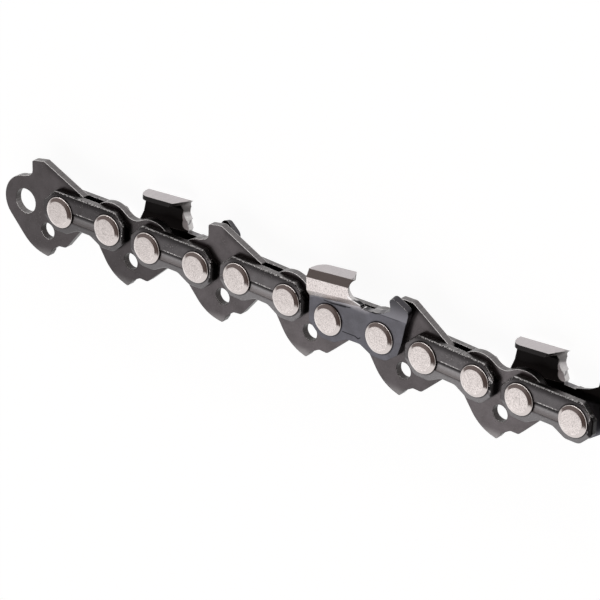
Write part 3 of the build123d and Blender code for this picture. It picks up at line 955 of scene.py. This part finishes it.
def buildRivets():
    for number in range(1, 13):
        piece = turnedRivet(f"spun_rivet_{number}", number)
        piece.data.materials.append(rivetMaterial(number))
        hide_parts(f"rivet_{number}")
        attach(piece, f"plates_{(number + 1) // 2}")
    print("rivets turned")


# Stage: pale floor, soft tent and the camera of the photograph

stageLook = {
    "floorHalf": 1.5, "floorGap": 0.02 * mm,
    "floorColour": colour(0.9, 0.9, 0.9),
    "shadowShare": colour(0.22, 0.22, 0.22),
    "whiteShare": colour(0.93, 0.93, 0.93),
    "darkFrom": -0.53, "darkTo": -0.36, "skew": 0.28,  # bright before the tangs, in Y and X
    "horizonLow": 0.12, "horizonHigh": 0.36,  # and near the floor, in Z
    "brightSide": colour(0.80, 0.79, 0.79),
    "darkSide": colour(0.16, 0.137, 0.132),
    "deepSide": colour(0.070, 0.052, 0.046),
    "deepFrom": -0.30, "deepTo": 0.35,  # darkest to the front of the stretch, in X
}


def buildFloor():
    look = stageLook
    half, height = look["floorHalf"], cadBox[0][2] - look["floorGap"]
    mesh = bpy.data.meshes.new("floor")
    mesh.from_pydata([(-half, -half, height), (half, -half, height), (half, half, height),
                      (-half, half, height)], [], [(0, 1, 2, 3)])
    floor = bpy.data.objects.new("floor", mesh)
    bpy.context.scene.collection.objects.link(floor)
    material = bpy.data.materials.new("paleFloor")
    material.use_nodes = True
    tree = material.node_tree
    tree.nodes.clear()
    matt = addNode(tree, "ShaderNodeBsdfDiffuse")
    matt.inputs["Color"].default_value = look["floorColour"]
    faint = addNode(tree, "ShaderNodeBsdfDiffuse")
    faint.inputs["Color"].default_value = look["shadowShare"]
    plain = addNode(tree, "ShaderNodeEmission")
    plain.inputs["Color"].default_value = look["whiteShare"]
    white = addNode(tree, "ShaderNodeAddShader")
    tree.links.new(faint.outputs[0], white.inputs[0])
    tree.links.new(plain.outputs[0], white.inputs[1])
    path = addNode(tree, "ShaderNodeLightPath")
    seen = maths(tree, "MAXIMUM", path.outputs["Is Camera Ray"],
                 path.outputs["Is Transmission Ray"])
    seen = maths(tree, "MAXIMUM", seen, path.outputs["Is Glossy Ray"])
    blend = addNode(tree, "ShaderNodeMixShader")
    tree.links.new(seen, blend.inputs[0])
    tree.links.new(matt.outputs[0], blend.inputs[1])
    tree.links.new(white.outputs[0], blend.inputs[2])
    end = addNode(tree, "ShaderNodeOutputMaterial")
    tree.links.new(blend.outputs[0], end.inputs["Surface"])
    mesh.materials.append(material)


def buildWorld():
    look = stageLook
    world = bpy.data.worlds.new("studioTent")
    bpy.context.scene.world = world
    world.use_nodes = True
    tree = world.node_tree
    ray = addNode(tree, "ShaderNodeTexCoord").outputs["Generated"]
    split = addNode(tree, "ShaderNodeSeparateXYZ")
    tree.links.new(ray, split.inputs[0])
    slant = maths(tree, "ADD", split.outputs[1], times(tree, split.outputs[0], look["skew"]))
    dark = times(tree, rise(tree, slant, look["darkFrom"], look["darkTo"]),
                 rise(tree, split.outputs[2], look["horizonLow"], look["horizonHigh"]))
    deep = rise(tree, split.outputs[0], look["deepFrom"], look["deepTo"])
    tint = mixColour(tree, dark, look["brightSide"],
                     mixColour(tree, deep, look["darkSide"], look["deepSide"]))
    path = addNode(tree, "ShaderNodeLightPath")
    tint = mixColour(tree, path.outputs["Is Camera Ray"], tint, colour(1, 1, 1))
    tree.links.new(tint, tree.nodes["Background"].inputs["Color"])


# a soft key low before the tangs, and a long strip behind the cutters for the bright rims
lampLook = {
    "key": {"from": (-0.40, -0.55, 0.62), "size": (0.35, 0.35), "power": 0.22},
    "strip": {"from": (0.0, 0.97, 0.22), "size": (1.70, 0.06), "power": 1.3},
}


def buildLamps():
    middle = Vector([(low + high) / 2 for low, high in zip(*cadBox)])
    for name, look in lampLook.items():
        lamp = bpy.data.lights.new(name, "AREA")
        lamp.shape = "RECTANGLE"
        lamp.size, lamp.size_y = look["size"]
        lamp.energy = look["power"]
        holder = bpy.data.objects.new(name, lamp)
        away = Vector(look["from"])
        holder.matrix_world = (Matrix.Translation(middle + away)
                               @ away.to_track_quat("Z", "Y").to_matrix().to_4x4())
        bpy.context.scene.collection.objects.link(holder)


cameraLook = {
    "azimuth": 37.0729, "elevation": 26.1983, "roll": 3.5617,  # degrees, from the row's axes
    "distance": 0.758178,
    "lensInPixels": 4825.19, "imagePixels": 600.0, "sensor": 36.0, "clip": (0.05, 10.0),
    "aimFromSecondHinge": (0.0403891, 0.0017817, 0.002395),
}


# back, right and up of the camera: the row is seen from its front, outer and near side,
# with Y held upright and the picture rolled a little
def buildCamera():
    look = cameraLook
    azimuth, elevation, roll = (radians(look[key]) for key in ("azimuth", "elevation", "roll"))
    back = Vector((sin(azimuth) * cos(elevation), sin(elevation), cos(azimuth) * cos(elevation)))
    level = Vector((cos(azimuth), 0, -sin(azimuth)))
    upright = back.cross(level)
    right = cos(roll) * level + sin(roll) * upright
    up = cos(roll) * upright - sin(roll) * level
    aim = Vector(frame["joints"][1]["pos_m"]) + Vector(look["aimFromSecondHinge"])
    lens = bpy.data.cameras.new("photoCamera")
    lens.sensor_width = look["sensor"]
    lens.lens = look["lensInPixels"] / look["imagePixels"] * look["sensor"]
    lens.clip_start, lens.clip_end = look["clip"]
    camera = bpy.data.objects.new("photoCamera", lens)
    camera.matrix_world = (Matrix.Translation(aim + look["distance"] * back)
                           @ Matrix((right, up, back)).transposed().to_4x4())
    bpy.context.scene.collection.objects.link(camera)
    bpy.context.scene.camera = camera


buildRivets()
dressPlates()
buildFloor()
buildWorld()
buildLamps()
buildCamera()
bpy.context.scene.view_settings.view_transform = "Standard"
print("stage set")
